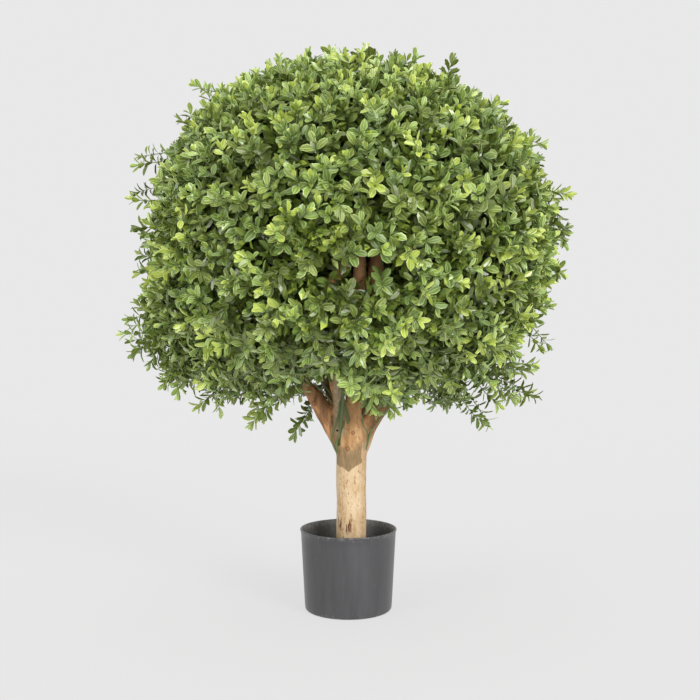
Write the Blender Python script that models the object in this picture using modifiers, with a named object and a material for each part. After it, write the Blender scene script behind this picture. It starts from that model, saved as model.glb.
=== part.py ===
"""Potted boxwood ball topiary: a ball of boxwood foliage on a forked wooden trunk, in a black nursery pot.

Metres, +Z up. The origin is the centre of the pot's flat underside, on the floor, and -Y is the front.

The pot is a turned shell with a hard fill, and the trunk stands on the fill. At the fork the trunk divides into
six tapering boughs. The ball of foliage is nine masses, each in its own wedge of the ball. A mass is a small
core on one stem, with twigs that grow out of the core by a seeded rule and carry leaves in crossed pairs.
"""

import math
import random

import bmesh
import bpy
from mathutils import Vector

# ---- Clearances -----------------------------------------------------------------------------------------------
SEAT_GAP = 0.0003  # between two pieces that touch

# ---- Pot and fill ---------------------------------------------------------------------------------------------
POT_HEIGHT = 0.131
POT_RIM_RADIUS = 0.0778  # outside of the lip
POT_LIP = 0.0014  # how far the lip stands out of the wall
POT_LIP_HEIGHT = 0.0045
POT_BASE_RADIUS = 0.0700
POT_CORNER = 0.0045  # radius of the bottom edge
POT_WALL = 0.0022
POT_SIDES = 32
FILL_DEPTH_BELOW_RIM = 0.046
FILL_EDGE_DROP = 0.003  # the fill is a little lower at the wall

# ---- Trunk and boughs: (x, y, z) along the middle, and the radius there -----------------------------------------
TRUNK_X = 0.0035
TRUNK_RADIUS = 0.0245
TRUNK_TOP = 0.262
TRUNK_TOP_RADIUS = 0.0222
TRUNK_SIDES, TRUNK_RINGS = 16, 8
BOUGH_SIDES, BOUGH_RINGS = 10, 6
FORK = Vector((TRUNK_X, 0.0, 0.248))

# Each bough starts inside the trunk at the fork and is cut clear of the limbs named before it.
BOUGHS = {
    "bough_leader": [
        ((0.0035, 0.000, 0.250), 0.0222),
        ((0.0060, 0.000, 0.300), 0.0166),
        ((0.0090, 0.002, 0.345), 0.0136),
        ((0.0200, 0.004, 0.450), 0.0114),
        ((0.0300, 0.002, 0.550), 0.0094),
        ((0.0330, 0.000, 0.655), 0.0072),
    ],
    "bough_left": [
        ((0.0010, 0.000, 0.252), 0.0170),
        ((-0.0300, -0.003, 0.304), 0.0143),
        ((-0.0720, -0.007, 0.373), 0.0104),
    ],
    "bough_right": [
        ((0.0090, 0.000, 0.250), 0.0180),
        ((0.0330, 0.002, 0.293), 0.0152),
        ((0.0559, 0.004, 0.330), 0.0124),
        ((0.0760, 0.006, 0.366), 0.0110),
    ],
    "bough_front_left": [
        ((-0.0060, -0.006, 0.258), 0.0125),
        ((-0.0160, -0.024, 0.345), 0.0094),
        ((-0.0130, -0.046, 0.445), 0.0080),
        ((-0.0360, -0.066, 0.540), 0.0066),
    ],
    "bough_front_right": [
        ((0.0110, 0.006, 0.252), 0.0140),
        ((0.0230, 0.016, 0.330), 0.0104),
        ((0.0380, 0.000, 0.450), 0.0090),
        ((0.0560, -0.052, 0.560), 0.0070),
    ],
    "bough_back_right": [
        ((0.0060, 0.006, 0.249), 0.0150),
        ((0.0300, 0.040, 0.328), 0.0107),
        ((0.0400, 0.070, 0.425), 0.0088),
        ((0.0370, 0.088, 0.535), 0.0070),
    ],
    "bough_back_left": [
        ((-0.0010, 0.002, 0.247), 0.0150),
        ((-0.0260, 0.036, 0.335), 0.0108),
        ((-0.0540, 0.054, 0.430), 0.0088),
        ((-0.0740, 0.066, 0.535), 0.0070),
    ],
}

# ---- Ball of foliage --------------------------------------------------------------------------------------------
CROWN_CENTRE = Vector((-0.001, 0.0, 0.612))
CROWN_HALF_WIDTH = 0.347
CROWN_UP = 0.284
CROWN_DOWN = 0.294
ROUND_ABOVE, ROUND_BELOW = 2.0, 3.0  # exponents of the outline: 2 is an ellipse, 3 is squarer
# Where the outline swells or dips: azimuth and elevation in degrees, gain, and width in degrees.
LOBES = [(270, -30, 0.060, 26), (90, -42, -0.055, 24), (90, 48, -0.020, 22), (0, -25, 0.020, 30)]

# Each mass: azimuth (0 is the front, 90 is +X) and elevation of its middle, and the limb that its stem meets with
# the share of the way along it. A share of 1 is the limb's tip.
MASSES = {
    "foliage_top": (0, 90, "bough_leader", 1.0),
    "foliage_front_left": (-44, 5, "bough_front_left", 1.0),
    "foliage_front_right": (44, 5, "bough_front_right", 1.0),
    "foliage_back_right": (156, 5, "bough_back_right", 1.0),
    "foliage_back_left": (234, 5, "bough_back_left", 1.0),
    "foliage_low_front": (0, -58, "trunk", 0.93),
    "foliage_low_right": (90, -58, "bough_right", 1.0),
    "foliage_low_back": (180, -58, "trunk", 0.93),
    "foliage_low_left": (270, -58, "bough_left", 1.0),
}
CELL_GAP = 0.003  # between two masses
CORE_INSET = 0.001  # from the core to the side of its wedge
LEAF_SHELL = 0.070  # from the core to the ball's outline
CORE_SEAT = 0.58  # where the core's own centre is, as a share of the way out
HOLLOW_RADIUS = 0.140  # the open space round the boughs
CORE_LIMB_GAP = 0.013
TWIG_LIMB_GAP = 0.003
CORE_SEGMENTS, CORE_RINGS = 14, 8

STEM_RADIUS = 0.0045
STEM_SINK = 0.030  # how far a stem runs into its core
TWIG_COUNT = 107
SEAM_ROOM = 0.016  # from a twig's tip to the side of its wedge
TWIG_RADIUS, TWIG_TIP_RADIUS = 0.0034, 0.0026
TWIG_SINK = 0.016
TWIG_LIFT = 0.16  # how far a twig turns up on its way out
LEAF_LENGTH, LEAF_WIDTH, LEAF_THICKNESS = 0.062, 0.034, 0.0036
LEAF_WIDEST = 0.58  # share of the length from the base to the widest place
LEAF_CURL = 0.10
PAIR_PLACES = (0.88, 0.58)  # along a twig, for its two pairs of leaves
PAIR_ANGLES = (50.0, 72.0, 72.0)  # how far each pair opens from the twig, from the tip down
PAIR_OFFSET = 0.0006  # along the twig, between the two leaves of a pair
PAIR_SINK = 0.0014  # past the middle of the twig
TURNS_TRIED = 5
LEAF_SINK = 0.0032  # how far the leaf at a tip runs into its twig
LEAST_TWIG = 0.008
TIP_LEAF_SIZE = 0.92
TIP_PAST = (-0.010, 0.006)  # where a leaf at a tip ends, past the outline

# Long sprays that stand out of the ball: azimuth, elevation, and reach past the outline as a share of it.
STRAYS = [
    (268, -28, 1.035), (272, -20, 1.065), (264, 10, 1.040), (285, 52, 1.020), (90, 13, 1.045),
    (86, 50, 1.020), (94, -30, 1.030), (98, -48, 1.110), (60, -62, 1.120), (292, -70, 1.180),
    (310, -58, 1.100), (0, 84, 1.030), (180, -30, 1.030), (150, 20, 1.040), (215, -45, 1.060),
    (20, 10, 1.020),
]
STRAY_BEND = 0.12
SEED = 41


# ---- Scene, materials and small helpers -------------------------------------------------------------------------
def start_scene():
    for obj in list(bpy.data.objects):
        bpy.data.objects.remove(obj)


def new_collection(name):
    made = bpy.data.collections.new(name)
    bpy.context.scene.collection.children.link(made)
    return made


def new_material(name, colour, roughness):
    made = bpy.data.materials.new(name)
    made.use_nodes = True
    shader = made.node_tree.nodes["Principled BSDF"]
    shader.inputs["Base Color"].default_value = (*colour, 1.0)
    shader.inputs["Roughness"].default_value = roughness
    shader.inputs["Metallic"].default_value = 0.0
    return made


def object_from(bm, name, collection, material=None):
    """Puts a bmesh into a new object and frees it."""
    mesh = bpy.data.meshes.new(name)
    bm.to_mesh(mesh)
    bm.free()
    made = bpy.data.objects.new(name, mesh)
    if material:
        mesh.materials.append(material)
    collection.objects.link(made)
    return made


def apply_modifiers(obj):
    bpy.context.view_layer.update()
    graph = bpy.context.evaluated_depsgraph_get()
    made = bpy.data.meshes.new_from_object(obj.evaluated_get(graph))
    obj.modifiers.clear()
    obj.data = made


def shade_round(obj):
    obj.data.shade_smooth()
    obj.data.set_sharp_from_angle(angle=math.radians(40))


def largest_body(mesh):
    """Keeps the largest closed body of a mesh, and drops loose scraps and the walls of sealed hollows."""
    bm = bmesh.new()
    bm.from_mesh(mesh)
    bmesh.ops.triangulate(bm, faces=bm.faces)
    left, bodies = set(bm.faces), []
    while left:
        stack, body = [left.pop()], set()
        while stack:
            face = stack.pop()
            body.add(face)
            for edge in face.edges:
                fresh = left.intersection(edge.link_faces)
                left -= fresh
                stack += fresh
        bodies.append(body)
    keep = max(bodies, key=len)
    bmesh.ops.delete(bm, geom=[face for face in bm.faces if face not in keep], context="FACES")
    bm.to_mesh(mesh)
    bm.free()


def smooth_point(points, t):
    """The point at t, from 0 to 1, on a Catmull-Rom line through the points."""
    last = len(points) - 1
    place = min(max(t, 0.0), 1.0) * last
    i = min(int(place), last - 1)
    u = place - i
    a, b, c, d = (points[min(max(k, 0), last)] for k in (i - 1, i, i + 1, i + 2))
    return 0.5 * (
        2 * b + (c - a) * u + (2 * a - 5 * b + 4 * c - d) * u * u + (3 * b - 3 * c + d - a) * u ** 3
    )


def smooth_number(values, t):
    place = min(max(t, 0.0), 1.0) * (len(values) - 1)
    i = min(int(place), len(values) - 2)
    return values[i] + (values[i + 1] - values[i]) * (place - i)


def bent_cone(points, radii, sides, rings):
    """A cone with flat ends, cut into rings and laid along a smooth line through the points."""
    bm = bmesh.new()
    bmesh.ops.create_cone(bm, cap_ends=True, segments=sides, radius1=1.0, radius2=1.0, depth=1.0)
    for k in range(1, rings):
        everything = bm.verts[:] + bm.edges[:] + bm.faces[:]
        bmesh.ops.bisect_plane(bm, geom=everything, plane_co=(0, 0, k / rings - 0.5), plane_no=(0, 0, 1))
    whole = points[-1] - points[0]
    guide = min((Vector((1, 0, 0)), Vector((0, 1, 0)), Vector((0, 0, 1))), key=lambda v: abs(v.dot(whole)))
    step = 0.01
    for v in bm.verts:
        t = v.co.z + 0.5
        along = smooth_point(points, t + step) - smooth_point(points, t - step)
        side = guide.cross(along).normalized()
        other = along.cross(side).normalized()
        v.co = smooth_point(points, t) + (side * v.co.x + other * v.co.y) * smooth_number(radii, t)
    return bm


def turned(name, profile, sides, collection, material):
    """A solid of revolution. The profile starts on the axis inside, goes up, over and down its outer side."""
    mesh = bpy.data.meshes.new(name)
    points = [(x, 0.0, z) for x, z in profile]
    mesh.from_pydata(points, [(i, i + 1) for i in range(len(points) - 1)], [])
    mesh.materials.append(material)
    made = bpy.data.objects.new(name, mesh)
    collection.objects.link(made)
    screw = made.modifiers.new("turn", "SCREW")
    screw.steps = screw.render_steps = sides
    screw.use_merge_vertices = True
    screw.merge_threshold = 0.00001
    screw.use_smooth_shade = True
    return made


# ---- Pot and fill -----------------------------------------------------------------------------------------------
def wall_radius(z):
    """Outside radius of the pot's wall at a height, without its lip."""
    top = POT_RIM_RADIUS - POT_LIP
    return POT_BASE_RADIUS + (top - POT_BASE_RADIUS) * z / POT_HEIGHT


def make_pot(collection, material):
    corner = [
        (
            POT_BASE_RADIUS - POT_CORNER * (1 - math.cos(math.radians(a))),
            POT_CORNER * (1 - math.sin(math.radians(a))),
        )
        for a in (0, 30, 60, 90)
    ]
    profile = [
        (0.0, POT_WALL),
        (wall_radius(POT_CORNER) - POT_WALL - POT_CORNER * 0.5, POT_WALL),
        (wall_radius(POT_CORNER) - POT_WALL, POT_CORNER),
        (wall_radius(POT_HEIGHT) - POT_WALL, POT_HEIGHT - POT_WALL * 0.4),
        (wall_radius(POT_HEIGHT) - POT_WALL * 0.6, POT_HEIGHT),
        (POT_RIM_RADIUS - POT_LIP * 0.4, POT_HEIGHT),
        (POT_RIM_RADIUS, POT_HEIGHT - POT_LIP * 0.5),
        (POT_RIM_RADIUS, POT_HEIGHT - POT_LIP_HEIGHT),
        (wall_radius(POT_HEIGHT - POT_LIP_HEIGHT), POT_HEIGHT - POT_LIP_HEIGHT - POT_LIP),
        *corner,
        (0.0, 0.0),
    ]
    return turned("pot", profile, POT_SIDES, collection, material)


def make_fill(collection, material):
    top = POT_HEIGHT - FILL_DEPTH_BELOW_RIM
    inner = wall_radius(0.0) - POT_WALL - SEAT_GAP * 2
    bottom = POT_WALL + SEAT_GAP
    profile = [
        (0.0, top),
        (TRUNK_RADIUS + TRUNK_X + 0.004, top),
        (wall_radius(top) - POT_WALL - SEAT_GAP * 2, top - FILL_EDGE_DROP),
        (inner + (wall_radius(POT_CORNER) - wall_radius(0.0)), POT_CORNER + SEAT_GAP),
        (inner - POT_CORNER * 0.55, bottom),
        (0.0, bottom),
    ]
    return turned("pot_fill", profile, POT_SIDES, collection, material)


# ---- Trunk and boughs -------------------------------------------------------------------------------------------
def limb_lines():
    """Every limb's middle line and radii by name, the trunk first."""
    ground = POT_HEIGHT - FILL_DEPTH_BELOW_RIM + SEAT_GAP
    share = (0.0, 0.25, 0.5, 0.8, 1.0)
    trunk = [Vector((TRUNK_X, 0.0, ground + (TRUNK_TOP - ground) * s)) for s in share]
    swell = (1.0, 0.985, 1.0, 1.02)
    lines = {"trunk": (trunk, [TRUNK_RADIUS * s for s in swell] + [TRUNK_TOP_RADIUS])}
    for name, stations in BOUGHS.items():
        lines[name] = ([Vector(p) for p, _ in stations], [r for _, r in stations])
    return lines


def make_limbs(lines, collection, cutters, material):
    """The trunk, then each bough with a Boolean that cuts it clear of the limbs made before it."""
    cutting = []
    for name, (points, radii) in lines.items():
        sides, rings = (TRUNK_SIDES, TRUNK_RINGS) if name == "trunk" else (BOUGH_SIDES, BOUGH_RINGS)
        limb = object_from(bent_cone(points, radii, sides, rings), name, collection, material)
        for cutter in cutting:
            cut = limb.modifiers.new(cutter.name, "BOOLEAN")
            cut.operation = "DIFFERENCE"
            cut.solver = "EXACT"
            cut.object = cutter
        apply_modifiers(limb)
        largest_body(limb.data)
        shade_round(limb)
        fat = bent_cone(points, [r + SEAT_GAP for r in radii], sides, rings)
        for v in fat.verts:
            if name == "trunk" and v.co.z > TRUNK_TOP - SEAT_GAP:
                v.co.z += SEAT_GAP
        cutter = object_from(fat, "cutter_" + name, cutters)
        cutter.hide_render = True
        cutter.display_type = "WIRE"
        cutting.append(cutter)


# ---- The ball's outline and the wedge of each mass ------------------------------------------------------------------
def direction(azimuth, elevation):
    """Azimuth 0 is the front (-Y) and 90 is +X, both in degrees."""
    a, e = math.radians(azimuth), math.radians(elevation)
    return Vector((math.sin(a) * math.cos(e), -math.cos(a) * math.cos(e), math.sin(e)))


def reach(way):
    """Distance from the ball's centre to its outline along a unit vector."""
    across = math.hypot(way.x, way.y) / CROWN_HALF_WIDTH
    if way.z >= 0:
        size = (across ** ROUND_ABOVE + (way.z / CROWN_UP) ** ROUND_ABOVE) ** (-1 / ROUND_ABOVE)
    else:
        size = (across ** ROUND_BELOW + (-way.z / CROWN_DOWN) ** ROUND_BELOW) ** (-1 / ROUND_BELOW)
    for azimuth, elevation, gain, width in LOBES:
        turn = math.degrees(way.angle(direction(azimuth, elevation)))
        size *= 1 + gain * math.exp(-((turn / width) ** 2))
    return size


def wedge_room(point, name, middles):
    """How far a point is inside its mass's wedge of the ball."""
    out = point - CROWN_CENTRE
    own = middles[name]
    gaps = [out.dot((own - other).normalized()) for key, other in middles.items() if key != name]
    return min(gaps) - CELL_GAP / 2


def limb_room(point, lines, leave_out=None):
    """How far a point is from the nearest limb's surface."""
    room = 1.0
    for name, (points, radii) in lines.items():
        if name == leave_out:
            continue
        for (a, ra), (b, rb) in zip(zip(points, radii), zip(points[1:], radii[1:])):
            span = b - a
            t = min(max((point - a).dot(span) / span.length_squared, 0.0), 1.0)
            room = min(room, (point - a - span * t).length - (ra + (rb - ra) * t))
    return room


def core_room(point, name, middles, lines):
    out = point - CROWN_CENTRE
    far = out.length
    if far < 1e-6:
        return -1.0
    return min(
        wedge_room(point, name, middles) - CORE_INSET,
        reach(out / far) - LEAF_SHELL - far,
        far - HOLLOW_RADIUS,
        limb_room(point, lines) - CORE_LIMB_GAP,
    )


def core_extent(centre, way, name, middles, lines):
    """How far the core goes from its centre along a unit vector."""
    step, far = 0.004, 0.004
    while far < 0.4 and core_room(centre + way * (far + step), name, middles, lines) > 0:
        far += step
    return far


# ---- Pieces of a mass -------------------------------------------------------------------------------------------
def core_shape(centre, name, middles, lines):
    bm = bmesh.new()
    bmesh.ops.create_uvsphere(bm, u_segments=CORE_SEGMENTS, v_segments=CORE_RINGS, radius=1.0)
    turn = Vector((0, 0, 1)).rotation_difference(centre - CROWN_CENTRE)
    for v in bm.verts:
        way = (turn @ v.co).normalized()
        v.co = centre + way * core_extent(centre, way, name, middles, lines)
    return bm


def leaf_shape(base, way, face, size):
    """A leaf of six faces: a ridged blade drawn out along way, widest past its middle, and curled back."""
    bm = bmesh.new()
    bmesh.ops.create_uvsphere(bm, u_segments=3, v_segments=2, radius=1.0)
    side = face.cross(way).normalized()
    for v in bm.verts:
        middle = abs(v.co.z) < 0.5
        share = LEAF_WIDEST if middle else (v.co.z + 1) / 2
        ridge = middle and v.co.x > 0.5
        across = 0.0 if ridge or not middle else math.copysign(0.5, -v.co.y)
        lift = LEAF_THICKNESS * ridge - LEAF_CURL * LEAF_LENGTH * size * share * share
        v.co = base + way * (LEAF_LENGTH * size * share) + side * (across * LEAF_WIDTH * size) + face * lift
    return bm


def leaf_fits(base, way, face, size, name, middles, lines):
    """True if a leaf stays in its wedge and off the limbs."""
    side = way.cross(face).normalized() * (LEAF_WIDTH * size / 2)
    middle = base + way * (LEAF_LENGTH * size * LEAF_WIDEST)
    tip = base + way * (LEAF_LENGTH * size) - face * (LEAF_CURL * LEAF_LENGTH * size)
    return all(
        wedge_room(p, name, middles) > 0.001 and limb_room(p, lines) > TWIG_LIMB_GAP
        for p in (middle + side, middle - side, tip, middle)
    )


def leaf_places(line, turn, draw, size, places):
    """Base, way, face and size of each leaf on a twig: one at its tip, and crossed pairs below it."""
    found = []
    for k, place in enumerate((1.0, *places)):
        at = smooth_point(line, place)
        along = (at - smooth_point(line, place - 0.1)).normalized()
        guide = Vector((0, 0, 1)) if abs(along.z) < 0.9 else Vector((1, 0, 0))
        side = guide.cross(along).normalized()
        other = along.cross(side)
        spin = turn + k * math.pi / 2
        out = side * math.cos(spin) + other * math.sin(spin)
        if k == 0:
            found.append((at - along * LEAF_SINK, along, out, size * TIP_LEAF_SIZE))
            continue
        open_angle = math.radians(PAIR_ANGLES[k - 1] + draw.uniform(-8, 8))
        for sign in (1, -1):
            way = along * math.cos(open_angle) + out * (sign * math.sin(open_angle))
            face = (along - way * along.dot(way)).normalized()
            base = at - way * PAIR_SINK + along * (sign * PAIR_OFFSET)
            found.append((base, way, face, size * draw.uniform(0.88, 1.04)))
    return found


def leaves_on(line, draw, name, middles, lines, size=1.0, places=PAIR_PLACES):
    """Leaf shapes for one twig, turned round it so that most of them fit. What doesn't fit is left out."""
    best = []
    first = draw.uniform(0, math.pi)
    for k in range(TURNS_TRIED):
        found = leaf_places(line, first + k * math.pi / TURNS_TRIED, draw, size, places)
        fitting = [leaf for leaf in found if leaf_fits(*leaf, name, middles, lines)]
        if len(fitting) > len(best):
            best = fitting
    return [leaf_shape(*leaf) for leaf in best]


def twig_fits(line, name, middles, lines):
    places = [smooth_point(line, t) for t in (0.35, 0.6, 0.8, 1.0)]
    return all(
        wedge_room(p, name, middles) > TWIG_RADIUS + 0.001 and limb_room(p, lines) > TWIG_RADIUS + TWIG_LIMB_GAP
        for p in places
    )


def even_ways(count, draw):
    """Unit vectors spread evenly over the ball, each moved a little at random."""
    golden = math.pi * (3 - math.sqrt(5))
    for k in range(count):
        z = 1 - (2 * k + 1) / count
        flat = math.sqrt(1 - z * z)
        way = Vector((flat * math.cos(golden * k), flat * math.sin(golden * k), z))
        jitter = Vector([draw.uniform(-1, 1) for _ in range(3)]) * 0.055
        yield (way + jitter).normalized()


def owner_of(way, middles):
    return max(middles, key=lambda name: way.dot(middles[name]))


def settled_tip(way, past, name, middles):
    """A twig's tip this far past the outline, moved towards the middle of its wedge until it's clear of the sides."""
    tip = CROWN_CENTRE + way * (reach(way) + past)
    while wedge_room(tip, name, middles) < SEAM_ROOM:
        way = (way + middles[name] * 0.03).normalized()
        tip = CROWN_CENTRE + way * (reach(way) + past)
    return tip


def twig_line(tip, name, centres, middles, lines, lift, bend=0.0):
    """A twig's middle line, from inside its mass's core to the tip, or None if the tip is too near the core."""
    centre = centres[name]
    way = (tip - centre).normalized()
    skin = centre + way * core_extent(centre, way, name, middles, lines)
    if (tip - centre).length < (skin - centre).length + LEAST_TWIG:
        return None
    root = skin - way * TWIG_SINK
    middle = (root + tip) / 2 - Vector((0, 0, 1)) * ((tip - root).length * (lift * 0.5 - bend))
    return [root, middle, tip]


def mass_pieces(name, centres, middles, lines, ways, draw):
    """Every shape that is fused into one mass: its stem, its twigs and their leaves."""
    centre = centres[name]
    limb, share = MASSES[name][2:]
    points, radii = lines[limb]
    start = smooth_point(points, share)
    toward = (centre - start).normalized()
    if share == 1.0:
        tip_way = (points[-1] - points[-2]).normalized()
        start = points[-1] + tip_way * (SEAT_GAP + STEM_RADIUS * math.sin(tip_way.angle(toward)))
    else:
        along = (smooth_point(points, share + 0.02) - smooth_point(points, share - 0.02)).normalized()
        outward = (toward - along * toward.dot(along)).normalized()
        start += outward * (smooth_number(radii, share) + SEAT_GAP + STEM_RADIUS * abs(toward.dot(along)))
    skin = centre - toward * core_extent(centre, -toward, name, middles, lines)
    inside = skin + toward * STEM_SINK
    pieces = [bent_cone([start, (start + inside) / 2, inside], [STEM_RADIUS] * 3, 6, 2)]
    for way in ways:
        past = draw.uniform(*TIP_PAST) - LEAF_LENGTH * TIP_LEAF_SIZE
        tip = settled_tip(way, past, name, middles)
        line = twig_line(tip, name, centres, middles, lines, TWIG_LIFT)
        if line and twig_fits(line, name, middles, lines):
            pieces.append(bent_cone(line, [TWIG_RADIUS, TWIG_RADIUS, TWIG_TIP_RADIUS], 3, 2))
            pieces += leaves_on(line, draw, name, middles, lines)
    for azimuth, elevation, share in STRAYS:
        way = direction(azimuth, elevation)
        if owner_of(way, middles) != name:
            continue
        far = reach(way) * share
        tip = CROWN_CENTRE + way * (far - LEAF_LENGTH * 0.72)
        line = twig_line(tip, name, centres, middles, lines, 0.0, STRAY_BEND)
        if line and twig_fits(line, name, middles, lines):
            pieces.append(bent_cone(line, [TWIG_RADIUS, TWIG_RADIUS, TWIG_TIP_RADIUS], 3, 3))
            pieces += leaves_on(line, draw, name, middles, lines, 0.85, (0.9, 0.68, 0.46))
    return pieces


def make_mass(name, centres, middles, lines, ways, draw, collection, material):
    """One mass: its core with everything else fused to it by one Boolean on a collection."""
    mass = object_from(core_shape(centres[name], name, middles, lines), name, collection, material)
    loose = new_collection("loose_" + name)
    for k, shape in enumerate(mass_pieces(name, centres, middles, lines, ways, draw)):
        object_from(shape, f"{name}_piece_{k}", loose)
    join = mass.modifiers.new("join", "BOOLEAN")
    join.operation = "UNION"
    join.solver = "MANIFOLD"
    join.operand_type = "COLLECTION"
    join.collection = loose
    apply_modifiers(mass)
    for piece in list(loose.objects):
        bpy.data.objects.remove(piece)
    bpy.data.collections.remove(loose)
    largest_body(mass.data)
    return mass


def make_foliage(lines, collection, material):
    draw = random.Random(SEED)
    middles = {name: direction(azimuth, elevation) for name, (azimuth, elevation, _, _) in MASSES.items()}
    centres = {name: CROWN_CENTRE + way * (CORE_SEAT * reach(way)) for name, way in middles.items()}
    ways = {name: [] for name in MASSES}
    for way in even_ways(TWIG_COUNT, draw):
        ways[owner_of(way, middles)].append(way)
    for name in MASSES:
        make_mass(name, centres, middles, lines, ways[name], draw, collection, material)


# ---- Build ------------------------------------------------------------------------------------------------------
def main():
    start_scene()
    topiary = new_collection("boxwood_ball_topiary")
    cutters = new_collection("cutters")
    plastic = new_material("pot_plastic", (0.035, 0.036, 0.038), 0.55)
    cement = new_material("fill_cement", (0.16, 0.15, 0.14), 0.9)
    wood = new_material("trunk_wood", (0.52, 0.36, 0.19), 0.75)
    leaf = new_material("boxwood_leaf", (0.12, 0.23, 0.04), 0.45)
    make_pot(topiary, plastic)
    make_fill(topiary, cement)
    lines = limb_lines()
    make_limbs(lines, topiary, cutters, wood)
    make_foliage(lines, topiary, leaf)


main()
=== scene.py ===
"""Potted boxwood ball topiary: the looks. Metres, +Z up, the front is -Y.

The trunk and boughs are one mesh of peeled wood with relief. Each mass of foliage grows from its bough's tip:
a stem, branches spread through the mass's wedge of the ball, and sprigs with crossed pairs of leaves.
"""

from math import cos, pi, radians, sin, sqrt

import bpy
import numpy as np
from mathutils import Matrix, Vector, noise


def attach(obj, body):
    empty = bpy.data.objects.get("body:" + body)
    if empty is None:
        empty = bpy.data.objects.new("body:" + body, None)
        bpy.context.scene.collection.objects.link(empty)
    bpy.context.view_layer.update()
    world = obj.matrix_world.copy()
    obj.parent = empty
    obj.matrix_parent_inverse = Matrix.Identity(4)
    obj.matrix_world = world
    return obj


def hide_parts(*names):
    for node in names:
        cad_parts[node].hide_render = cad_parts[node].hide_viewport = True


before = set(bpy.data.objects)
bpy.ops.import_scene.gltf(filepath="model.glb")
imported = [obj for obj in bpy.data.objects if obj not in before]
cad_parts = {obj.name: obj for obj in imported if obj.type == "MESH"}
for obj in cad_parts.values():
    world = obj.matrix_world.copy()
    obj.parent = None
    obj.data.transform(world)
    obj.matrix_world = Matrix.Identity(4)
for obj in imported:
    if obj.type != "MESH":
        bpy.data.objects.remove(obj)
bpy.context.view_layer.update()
SEED = 29

# ---- Camera and studio ----
CAMERA_X, CAMERA_DISTANCE, CAMERA_HEIGHT, CAMERA_TILT = 0.0026, 1.763, 0.499, 2.6
CAMERA_LENS, CAMERA_SENSOR = 56.57, 36.0
WHITE = 0.812
FLOOR_DIFFUSE, FLOOR_GLOW = 0.15, 0.64
FLOOR_RADIUS, FLOOR_SIDES, FLOOR_Z = 9.0, 96, -0.0004
# Suns, all turned to one point: place, strength, and softness in degrees.
SUN_AIM = Vector((0, 0, 0.5))
SUNS = {
    "key": ((1.55, -2.0, 1.4), 1.8, 24),
    "fill": ((-2.05, -1.85, 1.2), 0.94, 28),
    "front": ((0.1, -2.6, 0.85), 0.7, 26),
    "top": ((-0.4, -0.9, 2.9), 0.14, 40),
}

# ---- Pot and fill ----
POT_HEIGHT = 0.131
POT_RIM_RADIUS = 0.0778
POT_LIP = 0.001
POT_LIP_HEIGHT = 0.004
POT_BASE_RADIUS = 0.07
POT_CORNER = 0.0045
POT_CORNER_ANGLES = range(0, 91, 15)
POT_WALL = 0.0022
POT_INNER_CORNER = 0.6  # share of the outer corner
WALL_FOOT, WALL_ROWS, INNER_TOP, INNER_ROWS = 0.006, 10, 0.01, 8  # rows of the wall outside and inside
# Up the lip's outside: how far in from the rim's radius, and how far below the top.
LIP_OUTSIDE = [(0.0005, 0.003), (0.0, 0.0024), (0.0, 0.0008), (0.0005, 0.0001), (0.0011, 0.0)]
# Down its inside: how far out from the wall's inner face, and how far below the top.
LIP_INSIDE = [(0.0008, 0.0002), (0.0, 0.0012)]
POT_SIDES, FILL_SIDES = 144, 120
FILL_TOP = POT_HEIGHT - 0.046
FILL_GAP = 0.0005  # between the fill and the pot
FILL_FOOT = 0.06  # radius of the fill's flat underside
FILL_CORNER = (0.0006, 0.006)  # how far in from the wall and how high
FILL_DOME = 0.004  # how much lower the fill's edge is than its middle
FILL_RINGS = np.linspace(0.97, 0.05, 26)  # shares of the fill's radius
# Bumps on the fill: the broad ones' scale, how much finer the others are, and both heights.
FILL_BUMPS, FILL_FINER, FILL_BROAD_HEIGHT, FILL_FINE_HEIGHT = 90, 3.1, 0.0009, 0.0006
FILL_SINK, FILL_BUMPED_ABOVE = 0.0007, 0.05

# ---- Limbs ----
# Points along each limb's middle, and its radius there, in mm. The trunk starts 4 mm below the fill's top.
LIMBS = {
    "trunk": [
        (4.8, 0, 81, 24.2), (4.8, 0, 130, 24.2), (4.8, 0, 180, 23.9), (4.8, 0, 225, 24.3),
        (5.3, 0, 252, 24.3), (5.8, 0, 270, 22.2),
    ],
    "bough_leader": [
        (5.6, -2, 246, 20.5), (8.8, -5, 278, 19), (9.6, -6, 294, 16.2), (8, -5, 312, 13.8),
        (8.4, -4, 350, 13.4), (7, -20, 450, 13), (6, -30, 550, 11), (6.6, 0, 655, 8),
    ],
    "bough_left": [
        (2.1, 1, 250, 17), (-12.4, 0, 276, 16.8), (-28.2, -3, 304, 16), (-47, -5, 334, 13.8),
        (-63.2, -6, 357, 10.5), (-76, -7, 378, 9.2),
    ],
    "bough_right": [
        (10.6, 1, 250, 17), (18.2, 2, 266, 16.6), (30, 3, 293, 15.4), (42, 4, 314, 14.2),
        (59, 5, 334, 12.6), (81, 6, 358, 10.5),
    ],
    "bough_front_left": [
        (-6.9, -5, 250, 13), (-14, -10, 290, 9.8), (-15, -13, 330, 9.4), (-30, -90, 435, 9.6),
        (-31, -182, 508, 10.4), (-8, -204, 546, 9.8), (-1, -216, 585, 8),
    ],
    "bough_front_right": [
        (15.6, 8, 250, 15), (26.6, 20, 330, 12.8), (39.4, -85, 440, 13), (39, -180, 515, 12.4),
        (43, -206, 580, 10.4),
    ],
    "bough_back_right": [
        (8.6, 6, 246, 15), (32.6, 40, 328, 10.7), (42.6, 70, 425, 8.8), (39.6, 88, 535, 6.6),
    ],
    "bough_back_left": [
        (1.6, 2, 246, 15), (-23.4, 36, 335, 10.8), (-51.4, 54, 430, 8.8), (-71.4, 66, 535, 6.6),
    ],
}
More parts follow.
